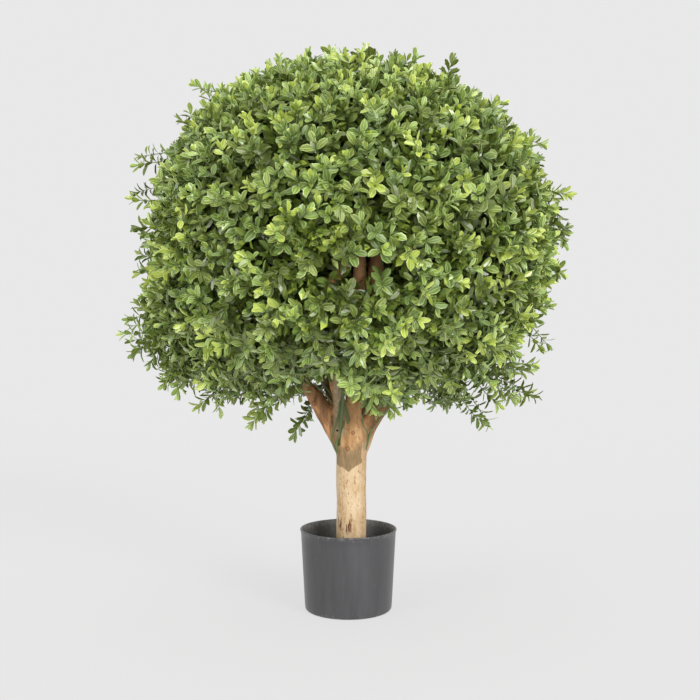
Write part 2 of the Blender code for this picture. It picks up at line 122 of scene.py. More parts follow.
# A side limb that leaves the leader and leans to the front.
SIDE_LIMB = [(8.8, -6, 370, 9), (10.5, -95, 440, 8), (15, -200, 515, 9.4), (19, -228, 580, 8)]
LIMB_SIDES, LIMB_RINGS = 40, 60
LIMB_VOXEL = 0.0024
BLEND_FACTOR, BLEND_ROUNDS = 0.5, 5  # the smoothing where limbs meet
# Knots: where, how wide, and how far they stand out.
KNOTS = [
    ((-0.0545, -0.018, 0.335), 0.0052, 0.002),
    ((0.04, -0.01, 0.318), 0.005, 0.0018),
    ((-0.0012, -0.0235, 0.263), 0.0046, 0.001),
    ((0.0076, -0.0215, 0.288), 0.004, 0.0008),
]
KNOT_DIMPLE, KNOT_DIMPLE_WIDTH = 0.8, 2.4  # depth as a share of the height, and how much narrower
# A small hole in the front left limb, painted as a near-black spot of painted shade: where, and the radii
# where it starts and is full.
PIT = (-0.0178, -0.019, 0.2915)
PIT_EDGE = (0.0024, 0.0014)
# Relief: its scale across and along a limb, its height on peeled wood, and how much more on bark.
RELIEF = [(130, 20, 0.00035, 0.00045), (42, 26, 0.0006, 0.0007), (420, 130, 0.00018, 0.0)]
BARK_FOOT, BARK_BLEND = 0.25, 0.05  # where rough bark starts, and how much higher it is full
# Plastic stems set in the fork, which run up into the foliage: radius and points along the middle, in mm.
GREEN_STEMS = [
    (2.6, [
        (-18, -21, 254), (-24.2, -19, 269), (-26.8, -20, 280), (-21.8, -25, 298), (-15.8, -26, 318),
        (-13.8, -28, 340), (-16, -45, 400),
    ]),
    (2.5, [(-17.6, -22, 258), (-19, -24, 272), (-14, -27, 286), (-7.8, -24, 300), (-6.6, -22, 308)]),
    (1.6, [
        (-21, -18, 260), (-26.2, -19, 276), (-24, -24, 290), (-14.6, -26.5, 312), (-10.8, -28, 340),
        (-6, -50, 400),
    ]),
    (3, [(-11, -30, 348), (-6.5, -28.5, 328), (-1.5, -24.5, 312), (-0.3, -21.5, 303)]),
    (2, [(-8, -30, 348), (-3.5, -27.5, 330), (1.2, -23.5, 314), (2, -21, 306)]),
    (2.2, [(-56, -20, 368), (-48.3, -19, 360.5), (-35.8, -17, 348.2), (-23, -12, 331.1), (-18.5, -4, 324)]),
    (1.9, [(-45, -16, 372), (-39, -15, 364.2), (-29.4, -12, 351.4), (-21.4, -6, 333.8), (-18.5, 2, 326)]),
    (1.8, [
        (28.8, -18, 260), (29.8, -20, 270), (30, -21.5, 288), (24.2, -21, 299.9), (22.1, -21.5, 313.5),
        (27.1, -25, 323.2), (29, -35, 345), (35, -50, 385),
    ]),
    (1.9, [
        (29.2, -18, 264), (31.2, -19.5, 280), (35.6, -19, 290.5), (44.2, -16.5, 301), (51.6, -15, 311),
        (62, -16, 326), (76, -20, 348),
    ]),
    (2.4, [(28.5, -19, 262), (32.5, -21.5, 278), (36, -22, 289), (34.5, -22, 295)]),
]
GREEN_SIDES, GREEN_RINGS = 10, 26
GREEN_SLIM = 0.66  # share of the radius above that is used
GREEN_TAPER = ((0, 0.12, 1), (0.55, 1.0, 0.85))  # shares of the way along and of the radius there

# ---- Ball of foliage ----
CROWN_CENTRE = np.array((0.0016, 0.0, 0.612))
CROWN_HALF_WIDTH = 0.334
CROWN_UP = 0.273
CROWN_DOWN = 0.28
ROUND_ABOVE, ROUND_BELOW = 2.0, 4.5
# Bulges and dents: azimuth and elevation, how much further out as a share, and the width, in degrees.
LOBES = [
    (270, 6, -0.058, 28), (270, -36, 0.025, 20), (86, -38, -0.17, 18), (90, 44, -0.04, 20),
    (270, 44, -0.025, 20), (0, -72, -0.1, 30), (318, -74, -0.07, 20),
]
# The middle of each mass (azimuth and elevation), and the limb that carries it.
MASSES = {
    "foliage_top": (0, 90, "bough_leader"),
    "foliage_front_left": (-44, 5, "bough_front_left"),
    "foliage_front_right": (44, 5, "bough_front_right"),
    "foliage_back_right": (156, 5, "bough_back_right"),
    "foliage_back_left": (234, 5, "bough_back_left"),
    "foliage_low_front": (0, -58, "trunk"),
    "foliage_low_right": (90, -58, "bough_right"),
    "foliage_low_back": (180, -58, "trunk"),
    "foliage_low_left": (270, -58, "bough_left"),
}
# Where the stems of the masses on the trunk start, in mm.
STEM_FEET = {"foliage_low_front": (-15, -19, 268), "foliage_low_back": (8, 22, 262)}
# Openings in the front that show the limbs: azimuth, elevation, half width and half height, in degrees.
GAPS = [(6.0, -13.7, 9.4, 4.8), (-5.5, -15.6, 3.4, 2.6)]
GAP_EDGE, GAP_RING = 1.5, 7  # from and to where, as gap_offset tells it, an opening's own leaves stand
# The fork's clear window, as seen from the front: x from and to, and the height below which no sprig ends.
FORK_WINDOW = (-0.08, -0.01, 0.376)
GOLDEN_ANGLE = pi * (3.0 - sqrt(5.0))

HEART_SHARE = 0.58  # where a mass's stem ends, as a share of the way out
BRANCH_COUNT = 190  # over the whole ball
BRANCH_SHARE = 0.72
BRANCH_JITTER = 0.05
STEM_SAG, BRANCH_SAG = (0, 0, -0.01), (0, 0, -0.012)  # pull on the middle of each curve
STEM_POINTS, BRANCH_POINTS = 10, 8
# Twigs: the radius at the foot and at the tip, and the number of sides.
STEM_TWIG, BRANCH_TWIG = (0.0022, 0.0026, 6), (0.0021, 0.0013, 4)
SPRIG_TWIG, SPRAY_TWIG = (0.0011, 0.0006, 3), (0.0012, 0.0006, 3)

# Sprigs at the outline and inside it. Depths are from the outline to the tip, pairs are of leaves (from, and
# below which number) and lengths are of the bent end.
OUTER_SPRIGS = dict(
    count=2000, jitter=0.05, depths=(0.006, 0.029), pairs=(5, 8), lengths=(0.035, 0.06), points=7,
    tone_shares=(0.04, 0.16, 0.26, 0.27, 0.18, 0.09), outer=True,
)
INNER_SPRIGS = dict(
    count=1150, jitter=0.08, depths=(0.026, 0.056), pairs=(5, 7), lengths=(0.03, 0.05), points=5,
    tone_shares=(0.0, 0.08, 0.22, 0.3, 0.24, 0.16), outer=False,
)
SPRIG_SCALES = (0.86, 1.1)
# Sprigs turn up, and below the edge, a height of their direction, they turn down.
SPRIG_UP, SPRIG_DOWN, SPRIG_DOWN_EDGE, SPRIG_JITTER = 0.3, -0.1, -0.45, 0.5
# Low sprigs stand further in: how far, below which height of their direction, and over what blend.
FOOT_DEPTH, FOOT_EDGE, FOOT_BLEND = 0.016, -0.38, 0.25
SLENDER_HEIGHTS = (0.36, 0.48)  # leaves are slender below the first and full above the second
NARROW, SLENDER = 0.85, 0.62  # how wide a spray's leaves are beside the ball's own

# ---- Loose sprays ----
# They stand out of the outline, as seen from the front: the tip's x and z in mm, the way it points (degrees,
# 0 to the right and 90 up) and the length in mm.
SPRAYS = [
    (-355, 658, 190, 75), (-349, 614, 180, 60), (-343, 577, 160, 50), (-348, 542, 185, 70),
    (-334, 509, 170, 40), (-350, 499, 150, 50), (-363, 467, 190, 60), (-373, 445, 180, 70),
    (-354, 406, 215, 60), (-322, 384, 250, 50), (-306, 355, 225, 70), (-276, 337, 260, 60),
    (-252, 319, 225, 70), (-202, 309, 290, 70), (-186, 330, 300, 50), (-166, 293, 212, 85),
    (-158, 311, 235, 60), (-139, 300, 250, 60), (222, 293, 305, 85), (249, 322, 310, 60),
    (302, 342, 335, 100), (276, 332, 325, 80), (303, 388, 5, 70), (316, 413, 310, 60), (329, 488, 330, 50),
    (-348, 712, 190, 60), (-277, 791, 150, 50), (-258, 810, 120, 50), (-256, 842, 170, 70),
    (-226, 845, 100, 50), (-207, 845, 110, 50), (-166, 859, 150, 50), (-146, 870, 95, 50),
    (-131, 879, 140, 50), (-113, 893, 105, 60), (-86, 879, 80, 50), (-39, 906, 120, 50), (28, 907, 85, 50),
    (72, 896, 100, 50), (110, 900, 70, 50), (171, 889, 60, 60), (206, 835, 40, 40), (238, 824, 60, 60),
    (257, 813, 10, 50), (292, 774, 80, 50), (321, 745, 350, 60), (362, 665, 350, 70), (360, 617, 20, 60),
    (358, 604, 340, 50), (348, 577, 280, 60), (354, 541, 0, 60),
]
# Sprays in front of the fork, told the same way.
FRONT_SPRAYS = [
    (-2, 345, 262, 40), (8, 334, 275, 45), (21, 332, 262, 45), (33, 321, 280, 50), (44, 311, 285, 50),
    (52, 309, 300, 50), (62, 330, 290, 45), (71, 305, 285, 55), (85, 311, 310, 55), (98, 322, 300, 50),
    (28, 340, 250, 40), (46, 335, 270, 40),
]
# Sprays behind the left limb.
BACK_SPRAYS = [(-96, 271, 235, 90), (-81, 300, 235, 60)]
# How far forward (-) or back each kind stands, from and to, and how much it leans that way.
SPRAY_PLACES = [
    (SPRAYS, (-0.06, 0.06), 0.0), (FRONT_SPRAYS, (-0.15, -0.1), -0.4), (BACK_SPRAYS, (0.03, 0.05), 0.0),
]
LOW_SPRAY_DEPTHS = (-0.11, -0.03)  # the same for the low ones of the first kind
LEAN_JITTER = 0.2
# Sprays left of the first x, and those both right of the second and lower than the height, have a companion.
# Sprigs lower than the height are a tone darker, as painted shade under the ball.
LEFT_EDGE, RIGHT_EDGE, LOW_EDGE = -0.3, 0.2, 0.42
BESIDE, BESIDE_UP = (0.004, 0.014), (-0.014, 0.014)  # how far to the side and up a companion stands
# Long slender sprays hang round the foot of the ball.
SKIRT = {"past": (-0.004, 0.01), "lift": (0, 0, -0.35), "stray": 0.25, "lengths": (0.05, 0.08)}
SKIRT_COUNT, SKIRT_TILT = 100, (-54.0, -24.0)
# Short ones stand all round, but for the foot.
SIDE = {"past": (-0.002, 0.012), "lift": (0, 0, 0.2), "stray": 0.3, "lengths": (0.04, 0.06)}
SIDE_COUNT, SIDE_JITTER, SIDE_FOOT = 150, 0.1, -0.85
SPRAY_STRAY, SPRAY_BEND = 0.006, 0.1  # of the hidden part, and of the rest as a share of its length
SPRAY_HIDDEN_POINTS, SPRAY_POINTS = 5, 9
SPRAY_MORE_PAIRS = 3
# Slender sprays, round the foot of the ball and beside the edge sprays, take darker tones than the others:
# painted shade.
SPRAY_TONES, SLENDER_SHADE_TONES = (1, 5), (2, 6)
SPRAY_SCALE, SPRAY_SPACING, SPRAY_STRETCH = 0.94, 0.007, 0.02

# ---- Leaves ----
LEAF_LENGTH = 0.0216
LEAF_WIDE = 0.5
MIDRIB_EDGE = 0.1  # edges between points this near to the middle, in widths, are creased
TIP_LEAF = 0.012  # how far a tip's own leaves reach beyond it
DETAILED_PAIRS = 4  # pairs from a sprig's tip that show their rims and midribs
# The first pair's place from the tip, the way from pair to pair, the share of it at the tip and its growth.
FIRST_PAIR, PAIR_SPACING, PAIR_CLOSENESS, PAIR_STRETCH = 0.0015, 0.0078, 0.78, 0.07
ALONG_STEP = 0.004  # how far down the sprig its direction is read
# By the pair's number from the tip: how far it opens in degrees, and its size.
PAIR_NUMBERS, PAIR_OPENINGS, PAIR_SIZES = (0, 1, 2, 3, 5), (16, 34, 50, 60, 70), (0.68, 0.9, 1.0, 1.0, 0.94)
SPIN_JITTER, OPENING_JITTER, ROLL_JITTER = 0.16, 0.22, 0.42  # radians
LENGTHS, WIDTHS, CURLS, FOLDS = (0.88, 1.1), (0.9, 1.08), (-0.14, 0.26), (0.2, 0.75)
YOUNG_SHARE, YOUNG_TONES, YOUNG_PAIRS = 0.3, 2, 3  # new leaves: share of sprigs, tones lighter, pairs
# Blade and rim colour of each tone of leaf, brightest first. The rim colour is on the pale margins and on a
# strip along the midrib, which is partly a light midrib and partly a painted highlight.
LEAF_TONES = [
    ((178, 195, 78), (210, 222, 145)),
    ((144, 168, 76), (194, 214, 148)),
    ((128, 146, 59), (183, 199, 123)),
    ((104, 127, 55), (158, 180, 116)),
    ((95, 111, 38), (145, 160, 87)),
    ((82, 96, 32), (124, 139, 70)),
]
TONE_COUNT = len(LEAF_TONES)
BLADE_ROUGHNESS, BLADE_SPECULAR, RIM_ROUGHNESS = 0.31, 1.0, 0.42
SPRIG_STEM, BRANCH_STEM = 0, 1  # places in TWIG_COLOURS
TWIG_COLOURS = [("sprig_stem", (104, 122, 62)), ("branch_stem", (88, 102, 56))]
TWIG_ROUGHNESS = 0.5
GREEN_COLOUR, GREEN_ROUGHNESS = (96, 108, 60), 0.3
# Plain leaves inside the ball and round the openings: the share of the way out, the sizes and the tones.
DEEP_LEAF_COUNT, DEEP_TRIES = 18000, 14
DEEP_LEAVES = ((0.4, 0.8), (1.1, 1.6), (2, TONE_COUNT - 1))
RING_LEAVES = ((0.7, 0.92), (0.8, 1.05), (0, TONE_COUNT - 2))
DEEP_JITTER, DEEP_FOLDS, DEEP_CURL = 0.8, (0.2, 0.7), 0.3

# ---- Wood's colours, 0-255 ----
# Ramps as (position, colour): low, high and, where there is one, the middle.
PALE = [(0.3, (184, 153, 113)), (0.7, (214, 192, 158)), (0.5, (200, 175, 138))]
PATCH = [(0.3, (116, 94, 64)), (0.7, (162, 136, 98))]
STRIP = [(0.3, (176, 142, 106)), (0.7, (206, 176, 140))]
TAN = [(0.32, (164, 118, 76)), (0.68, (214, 172, 124)), (0.5, (192, 148, 100))]
BARK = [(0.32, (98, 74, 50)), (0.68, (204, 150, 100)), (0.5, (150, 108, 72))]
GREY = [(0.32, (132, 116, 88)), (0.66, (186, 168, 136))]
# Wood inside the crown, above DEEP_Z: the limbs' own reddish tan, made much lighter as painted light against
# the crown's shade.
DEEP = [(0.3, (156, 108, 70)), (0.7, (202, 154, 108))]
# Marks on them: the noise's values where they start and are full, and their colour.
PALE_STREAKS, PALE_GRAIN = (0.5, 0.68, (178, 140, 98)), (0.52, 0.72, (168, 128, 88))
TAN_STREAKS, BARK_STREAKS = (0.52, 0.72, (146, 100, 64)), (0.5, 0.66, (100, 80, 54))
FLECKS = (0.58, 0.7, (146, 104, 68))
# The pit's near-black is painted shade.
CUT_COLOUR, KNOT_COLOUR, PIT_SHADE_COLOUR = (98, 60, 38), (112, 62, 38), (26, 20, 14)
# Noises as (scale, detail, stretch along Z, roughness, slant).
BROAD, FINE, FLECK, GRAIN = (55, 4, 0.35), (190, 6, 0.22, 0.7), (330, 3, 0.45), (520, 4, 0.3, 0.75)
BLOTCH, RAGGED, WAVY, CUTS = (34, 3, 0.8), (70, 4, 0.8), (110, 5, 0.7, 0.7), (230, 3, 0.16, 0.5, 0.85)
# The pale wood's upper edge: the x and height where it is lowest, and its slope to both sides.
EDGE_X, EDGE_Z, EDGE_SLOPE, EDGE_RAG, EDGE_BLEND = -0.0005, 0.2273, 0.5, 0.016, (-0.0006, 0.0008)
STRIP_X = (0.0196, 0.0216)
TAN_ABOVE, TAN_RAG = (0.026, 0.04), 0.03
BARK_Z, BARK_X, BARK_OFF, BARK_RAG = (0.262, 0.295), 0.006, (0.016, 0.03), 0.05
GREY_X, GREY_Z = ((-0.025, -0.021), (-0.003, -0.007)), (0.276, 0.292)
DEEP_Z = (0.36, 0.44)
# Short cuts low on the front of the trunk.
CUT_X, CUT_Z = ((-0.018, -0.014), (0.01, 0.004)), ((0.126, 0.132), (0.154, 0.147))
CUT_Y, CUT_LEVELS = (-0.004, -0.01), (0.51, 0.57)
# A knot's dark ring: shares of the knot's width where it starts and is full outside, and is full inside.
RING_OUTSIDE, RING_INSIDE, RING_STRENGTH = (1.05, 0.75), 0.6, 0.6
WOOD_ROUGHNESS, WOOD_SPECULAR = 0.72, 0.3
BUMP_STRENGTH, BUMP_DISTANCE, BUMP_FLECKS = 0.35, 0.0012, -0.6

# ---- Pot's and fill's colours, 0-255 ----
# Dark and light plastic, the pale colour of its scuffs, the wear where scuffs start, and the roughness from
# and to. Near the rim the pale colour is also a painted highlight along the lip.
POT_OUTSIDE = ((57, 57, 58), (70, 70, 72), (112, 111, 110), 0.64, (0.28, 0.4))
# The inside is the same plastic, painted lighter than the outside as painted light in the pot's hollow.
POT_INSIDE = ((72, 71, 70), (92, 91, 89), (118, 116, 112), 0.56, (0.5, 0.6))
POT_STREAKS, POT_MARKS = (38, 5, 0.12, 0.65), (240, 6, 0.7, 0.65)  # noises, as for the wood
STREAK_DARK, STREAK_LIGHT = 0.32, 0.7
ROUGH_FROM, ROUGH_TO = 0.3, 0.7
SCUFF_BLEND, SCUFF_STRENGTH = 0.16, 0.75
# More wear at the foot, and at the rim more wear plus a painted highlight along the lip: the heights from and
# to, and the amount at each.
FOOT_WEAR, RIM_WEAR_AND_HIGHLIGHT = (0.001, 0.012, 0.14, 0.0), (0.118, 0.1295, 0.0, 0.17)
FILL_GRIT = (160, 6, 1.0, 0.5)
FILL_RAMP = [(0.35, (96, 92, 86)), (0.68, (146, 142, 134))]
FILL_ROUGHNESS = 0.9


# ---- Materials ----
def linear(colour):
    """A linear colour with alpha, from 0-255 screen values."""
    shares = [v / 255 for v in colour]
    return (*(((s + 0.055) / 1.055) ** 2.4 if s > 0.0404 else s / 12.92 for s in shares), 1.0)


class Looks:
    """A material made of nodes on the object's own coordinates. Most calls return an output."""

    def __init__(self, name):
        self.material = bpy.data.materials.new(name)
        self.material.use_nodes = True
        tree = self.material.node_tree
        self.nodes, self.links = tree.nodes, tree.links
        self.shader = self.nodes["Principled BSDF"]

    def put(self, value, socket):
        """Gives an input a number, a 0-255 colour or another node's output."""
        if isinstance(value, (int, float)):
            socket.default_value = value
        elif isinstance(value, tuple):
            socket.default_value = linear(value)
        else:
            self.links.new(value, socket)

    def place(self):
        return self.nodes.new("ShaderNodeTexCoord").outputs["Object"]

    def axes(self):
        split = self.nodes.new("ShaderNodeSeparateXYZ")
        self.put(self.place(), split.inputs[0])
        return split.outputs

    def math(self, operation, a, b=0.0):
        node = self.nodes.new("ShaderNodeMath")
        node.operation = operation
        self.put(a, node.inputs[0])
        self.put(b, node.inputs[1])
        return node.outputs[0]

    def noise(self, scale, detail, stretch, roughness=0.6, slant=0.0):
        mapping = self.nodes.new("ShaderNodeMapping")
        mapping.inputs["Scale"].default_value = (1.0, 1.0, stretch)
        mapping.inputs["Rotation"].default_value = (0.0, slant, 0.0)
        self.put(self.place(), mapping.inputs[0])
        node = self.nodes.new("ShaderNodeTexNoise")
        for name, value in (("Scale", scale), ("Detail", detail), ("Roughness", roughness)):
            node.inputs[name].default_value = value
        self.put(mapping.outputs[0], node.inputs["Vector"])
        return node.outputs[0]

    def ramp(self, value, stops):
        node = self.nodes.new("ShaderNodeValToRGB")
        elements = node.color_ramp.elements
        for index, (position, colour) in enumerate(stops):
            element = elements[index] if index < 2 else elements.new(position)
            element.position = position
            element.color = linear(colour)
        self.put(value, node.inputs[0])
        return node.outputs[0]

    def mix(self, share, a, b):
        node = self.nodes.new("ShaderNodeMix")
        node.data_type = "RGBA"
        for index, value in ((0, share), (6, a), (7, b)):
            self.put(value, node.inputs[index])
        return node.outputs[2]

    def ranged(self, value, low, high, first=0.0, last=1.0, kind="LINEAR"):
        node = self.nodes.new("ShaderNodeMapRange")
        node.interpolation_type = kind
        for socket, number in zip(node.inputs, (value, low, high, first, last)):
            self.put(number, socket)
        return node.outputs[0]

    def step(self, value, low, high):
        """0 at low and 1 at high, with a soft step between them."""
        return self.ranged(value, low, high, kind="SMOOTHSTEP")

    def plus(self, a, b):
        return self.math("ADD", a, b)

    def times(self, a, b):
        return self.math("MULTIPLY", a, b)

    def band(self, value, rise, fall):
        return self.times(self.step(value, *rise), self.step(value, *fall))

    def off(self, value, centre):
        return self.math("ABSOLUTE", self.math("SUBTRACT", value, centre))

    def swing(self, noise, amount):
        return self.times(self.math("SUBTRACT", noise, 0.5), amount)

    def marked(self, colour, noise, low, high, mark):
        return self.mix(self.step(noise, low, high), colour, mark)

    def away(self, spot):
        node = self.nodes.new("ShaderNodeVectorMath")
        node.operation = "DISTANCE"
        self.put(self.place(), node.inputs[0])
        node.inputs[1].default_value = spot
        return node.outputs["Value"]

    def bump(self, height, strength, distance):
        node = self.nodes.new("ShaderNodeBump")
        for name, value in (("Strength", strength), ("Distance", distance), ("Height", height)):
            self.put(value, node.inputs[name])
        self.put(node.outputs[0], self.shader.inputs["Normal"])

    def finish(self, colour, roughness, specular=0.5):
        values = {"Base Color": colour, "Roughness": roughness, "Specular IOR Level": specular}
        for name, value in values.items():
            self.put(value, self.shader.inputs[name])
        return self.material


def plain(name, *finish):
    """A material of one colour: its colour, roughness and, where it isn't 0.5, its specular level."""
    return Looks(name).finish(*finish)


def wood_material():
    """Pale peeled wood below a ragged edge at the fork, grey brown over it, and tan to brown on the limbs."""
    looks = Looks("peeled_wood")
    mix, step, ramp, noise_of = looks.mix, looks.step, looks.ramp, looks.noise
    plus, times, swing = looks.plus, looks.times, looks.swing
    x, y, z = looks.axes()
    broad, fine, fleck = (noise_of(*numbers) for numbers in (BROAD, FINE, FLECK))

    ragged = swing(noise_of(*RAGGED), EDGE_RAG)
    edge = plus(times(looks.off(x, EDGE_X), EDGE_SLOPE), EDGE_Z)
    over = plus(looks.math("SUBTRACT", z, edge), ragged)
    pale = looks.marked(ramp(broad, PALE), fine, *PALE_STREAKS)
    pale = looks.marked(pale, noise_of(*GRAIN), *PALE_GRAIN)
    patch = mix(step(plus(x, ragged), *STRIP_X), ramp(fine, PATCH), ramp(broad, STRIP))
    colour = mix(step(over, *EDGE_BLEND), pale, patch)

    tan = looks.marked(ramp(broad, TAN), fine, *TAN_STREAKS)
    colour = mix(step(plus(over, swing(noise_of(*WAVY), TAN_RAG)), *TAN_ABOVE), colour, tan)
    bark = looks.marked(ramp(broad, BARK), fine, *BARK_STREAKS)
    outer = plus(looks.off(x, BARK_X), swing(noise_of(*BLOTCH), BARK_RAG))
    colour = mix(times(step(z, *BARK_Z), step(outer, *BARK_OFF)), colour, bark)
    colour = mix(times(looks.band(x, *GREY_X), step(z, *GREY_Z)), colour, ramp(fine, GREY))
    # Above DEEP_Z, inside the crown, the wood is painted lighter: painted light.
    colour = mix(step(z, *DEEP_Z), colour, ramp(broad, DEEP))
    colour = looks.marked(colour, fleck, *FLECKS)

    cuts = times(step(y, *CUT_Y), step(noise_of(*CUTS), *CUT_LEVELS))
    place = times(looks.band(z, *CUT_Z), looks.band(x, *CUT_X))
    colour = mix(times(place, cuts), colour, CUT_COLOUR)
    for spot, wide, _ in KNOTS:
        away = looks.away(spot)
        outside = step(away, *(wide * share for share in RING_OUTSIDE))
        ring = times(outside, step(away, 0.0, wide * RING_INSIDE))
        colour = mix(times(ring, RING_STRENGTH), colour, KNOT_COLOUR)
    # The pit: a near-black spot of painted shade where a hole is.
    colour = mix(step(looks.away(PIT), *PIT_EDGE), colour, PIT_SHADE_COLOUR)
    looks.bump(plus(fine, times(fleck, BUMP_FLECKS)), BUMP_STRENGTH, BUMP_DISTANCE)
    return looks.finish(colour, WOOD_ROUGHNESS, WOOD_SPECULAR)


def pot_material(name, dark, light, scuff_and_highlight_colour, scuff_from, roughness):
    """Grey plastic with faint upright streaks and pale scuffs; near the rim the pale is also a painted
    highlight along the lip.
    """
    looks = Looks(name)
    streak = looks.noise(*POT_STREAKS)
    colour = looks.ramp(streak, [(STREAK_DARK, dark), (STREAK_LIGHT, light)])
    z = looks.axes()["Z"]
    # Lighter towards the foot for wear, and towards the rim for wear and a painted highlight along the lip.
    edges = looks.math("MAXIMUM", looks.ranged(z, *FOOT_WEAR), looks.ranged(z, *RIM_WEAR_AND_HIGHLIGHT))
    wear_and_rim_highlight = looks.plus(looks.noise(*POT_MARKS), edges)
    scuffed_and_highlit = looks.ranged(wear_and_rim_highlight, scuff_from, scuff_from + SCUFF_BLEND, 0.0, SCUFF_STRENGTH)
    roughness = looks.ranged(streak, ROUGH_FROM, ROUGH_TO, *roughness)
    return looks.finish(looks.mix(scuffed_and_highlit, colour, scuff_and_highlight_colour), roughness)


def fill_material():
    looks = Looks("cement_fill")
    return looks.finish(looks.ramp(looks.noise(*FILL_GRIT), FILL_RAMP), FILL_ROUGHNESS)


# ---- Lines and meshes ----
def smooth_line(rows, count):
    """Points spaced along a Catmull-Rom line through the given rows."""
    last = len(rows) - 1
    place = np.linspace(0, last, count)
    i = np.minimum(place.astype(int), last - 1)
    u = (place - i)[:, None]
    a, b, c, d = (rows[np.clip(i + k, 0, last)] for k in (-1, 0, 1, 2))
    return 0.5 * (
        2 * b + (c - a) * u + (2 * a - 5 * b + 4 * c - d) * u**2 + (3 * b - 3 * c + d - a) * u**3
    )


def unit(rows):
    return rows / np.maximum(np.linalg.norm(rows, axis=-1, keepdims=True), 1e-9)


def rings_of_quads(rings, sides):
    """The quads between rings of points that follow each other."""
    k = np.arange(sides)
    n = (k + 1) % sides
    rows = np.arange(rings - 1)[:, None] * sides
    return np.stack([rows + k, rows + n, rows + n + sides, rows + k + sides], axis=-1).reshape(-1, 4)


def tube(line, radii, sides):
    """Rings of points round a line, and the quads between them. Both ends are closed with a point."""
    along = unit(np.gradient(line, axis=0))
    mostly_y = abs(unit(line[-1] - line[0])[1]) >= 0.8
    guide = (1.0, 0.2, 0.1) if mostly_y else (0.3, 1.0, 0.1)
    side = unit(np.cross(guide, along))
    other = np.cross(along, side)
    turn = np.arange(sides) * 2 * pi / sides
    rings = (
        line[:, None]
        + side[:, None] * np.outer(radii, np.cos(turn))[:, :, None]
        + other[:, None] * np.outer(radii, np.sin(turn))[:, :, None]
    )
    points = np.concatenate([rings.reshape(-1, 3), line[:1], line[-1:]])
    quads = rings_of_quads(len(line), sides)
    foot = np.full(sides, len(line) * sides)
    foot_cap = np.stack([quads[:sides, 1], quads[:sides, 0], foot], axis=-1)
    tip_cap = np.stack([quads[-sides:, 3], quads[-sides:, 2], foot + 1], axis=-1)
    return points, quads, np.concatenate([foot_cap, tip_cap])


def link(name, data):
    made = bpy.data.objects.new(name, data)
    bpy.context.collection.objects.link(made)
    return made


class Heap:
    """Collects many small shapes that become one mesh."""

    def __init__(self):
        self.shapes = []
        self.count = 0

    def add(self, points, quads, triangles, quad_kinds, triangle_kinds, creased=False):
        faces = (quads + self.count, triangles + self.count)
        kinds = (np.broadcast_to(quad_kinds, len(quads)), np.broadcast_to(triangle_kinds, len(triangles)))
        self.shapes.append((points, *faces, *kinds, np.broadcast_to(creased, len(points))))
        self.count += len(points)

    def add_tube(self, line, radii, sides, kind=0):
        points, quads, caps = tube(line, radii, sides)
        self.add(points, quads, caps, kind, kind)

    def add_twig(self, line, twig, kind):
        first, last, sides = twig
        self.add_tube(line, np.linspace(first, last, len(line)), sides, kind)

    def to_object(self, name, materials):
        joined = (np.concatenate(column) for column in zip(*self.shapes))
        points, quads, triangles, quad_kinds, triangle_kinds, creased = joined
        mesh = bpy.data.meshes.new(name)
        mesh.vertices.add(len(points))
        mesh.vertices.foreach_set("co", points.ravel())
        corners = np.concatenate([quads.ravel(), triangles.ravel()])
        mesh.loops.add(len(corners))
        mesh.loops.foreach_set("vertex_index", corners)
        sizes = np.concatenate([np.full(len(quads), 4), np.full(len(triangles), 3)])
        mesh.polygons.add(len(sizes))
        mesh.polygons.foreach_set("loop_start", np.cumsum(sizes) - sizes)
        mesh.polygons.foreach_set("loop_total", sizes)
        mesh.polygons.foreach_set("material_index", np.concatenate([quad_kinds, triangle_kinds]))
        for material in materials:
            mesh.materials.append(material)
        mesh.update(calc_edges=True)
        mesh.validate()
        mesh.shade_smooth()
        if creased.any():
            ends = np.empty(len(mesh.edges) * 2, np.int32)
            mesh.edges.foreach_get("vertices", ends)
            sharp = mesh.attributes.new("sharp_edge", "BOOLEAN", "EDGE")
            sharp.data.foreach_set("value", creased[ends.reshape(-1, 2)].all(axis=1))
        return link(name, mesh)


# ---- The ball's outline ----
def direction(azimuth, elevation):
    a, e = radians(azimuth), radians(elevation)
    return np.array((sin(a) * cos(e), -cos(a) * cos(e), sin(e)))


def reach(ways):
    """Distance from the ball's centre to its outline along each unit vector."""
    across = np.hypot(ways[:, 0], ways[:, 1]) / CROWN_HALF_WIDTH
    up = ways[:, 2] >= 0
    high = np.abs(ways[:, 2]) / np.where(up, CROWN_UP, CROWN_DOWN)
    power = np.where(up, ROUND_ABOVE, ROUND_BELOW)
    size = (across**power + high**power) ** (-1 / power)
    for azimuth, elevation, gain, width in LOBES:
        turn = np.degrees(np.arccos(np.clip(ways @ direction(azimuth, elevation), -1, 1)))
        size = size * (1 + gain * np.exp(-((turn / width) ** 2)))
    return size


def beyond(way, past):
    """The point that is this far past the outline."""
    return CROWN_CENTRE + way * (reach(way[None])[0] + past)


def gap_offset(ways):
    """How far each way is from the middle of the nearest front opening: 1 at its edge."""
    azimuth = np.degrees(np.arctan2(ways[:, 0], -ways[:, 1]))
    elevation = np.degrees(np.arcsin(ways[:, 2]))
    offsets = [((azimuth - a) / wide) ** 2 + ((elevation - e) / high) ** 2 for a, e, wide, high in GAPS]
    return np.min(offsets, axis=0)


def from_view(x, y, z):
    """The point at depth y that the camera sees at x and z of the plane through the trunk."""
    share = 1 + y / CAMERA_DISTANCE
    return np.array((x * share, y, CAMERA_HEIGHT + (z - CAMERA_HEIGHT) * share))


def in_fork_window(point):
    share = 1 + point[1] / CAMERA_DISTANCE
    x = point[0] / share
    z = CAMERA_HEIGHT + (point[2] - CAMERA_HEIGHT) / share
    first, last, height = FORK_WINDOW
    return first < x < last and z < height


